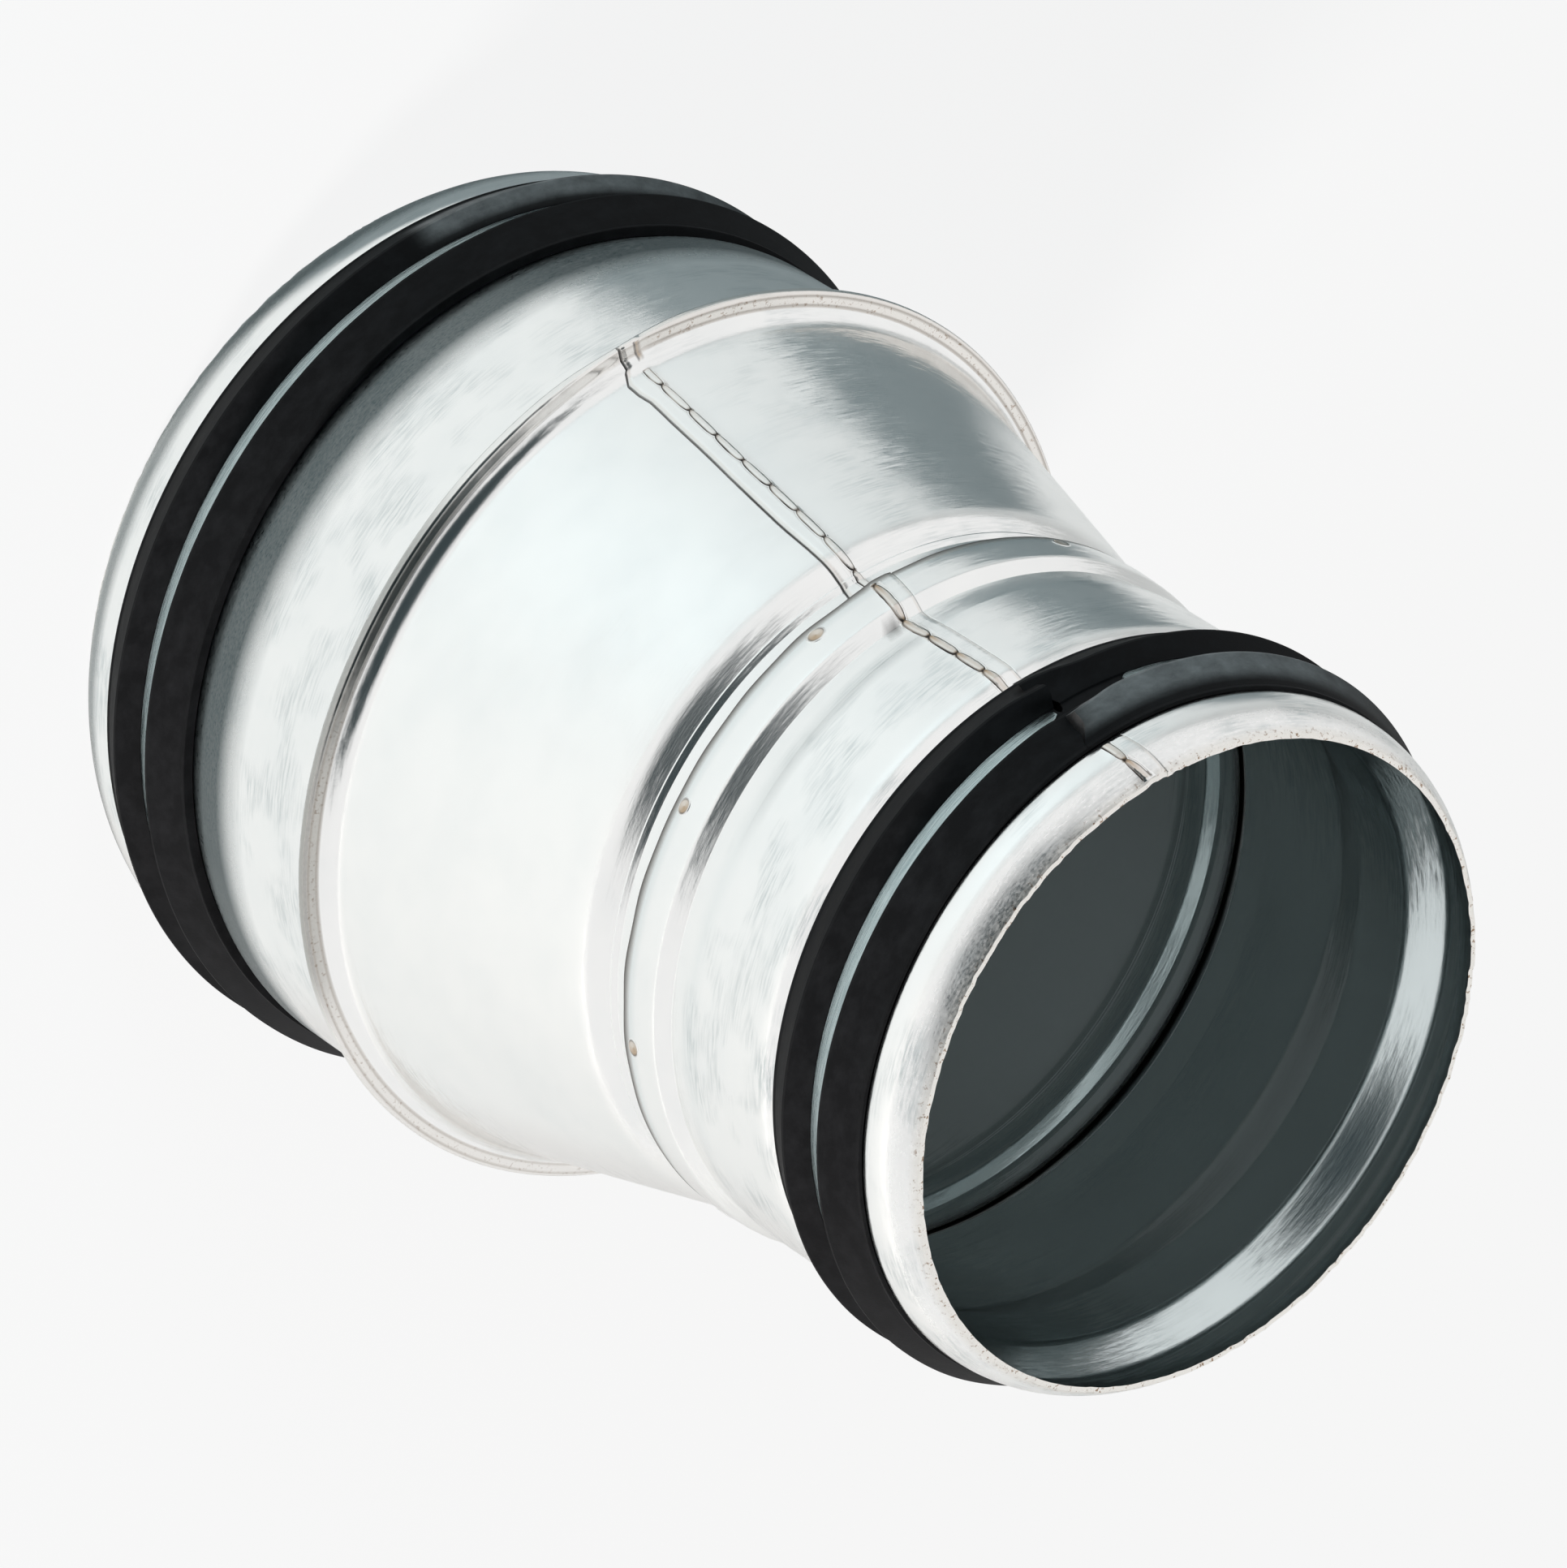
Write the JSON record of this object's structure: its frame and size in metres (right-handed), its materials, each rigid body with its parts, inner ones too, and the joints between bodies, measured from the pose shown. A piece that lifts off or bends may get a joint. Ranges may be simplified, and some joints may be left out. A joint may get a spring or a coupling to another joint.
{
  "type": "duct reducer",
  "caption": "Conical reducer for round ducts: galvanised sheet with a curled spigot and a two-lipped rubber seal at each end.",
  "frame": {"origin": "centre of the large end's rim, on the plane it stands on", "axes": "+Z along the common axis of both ducts from the large end to the small end; -Y towards the lengthwise seam"},
  "size_m": [0.1306, 0.1306, 0.1657],
  "materials": {
    "galvanised_sheet": "zinc coated, satin",
    "seal_rubber": "matte with a soft sheen",
    "band_steel": "satin"
  },
  "bodies": {
    "root": {"large_collar": "galvanised_sheet", "cone": "galvanised_sheet", "small_collar": "galvanised_sheet", "large_seal": "seal_rubber", "small_seal": "seal_rubber", "large_seal_band": "band_steel", "small_seal_band": "band_steel"}
  },
  "joints": []
}
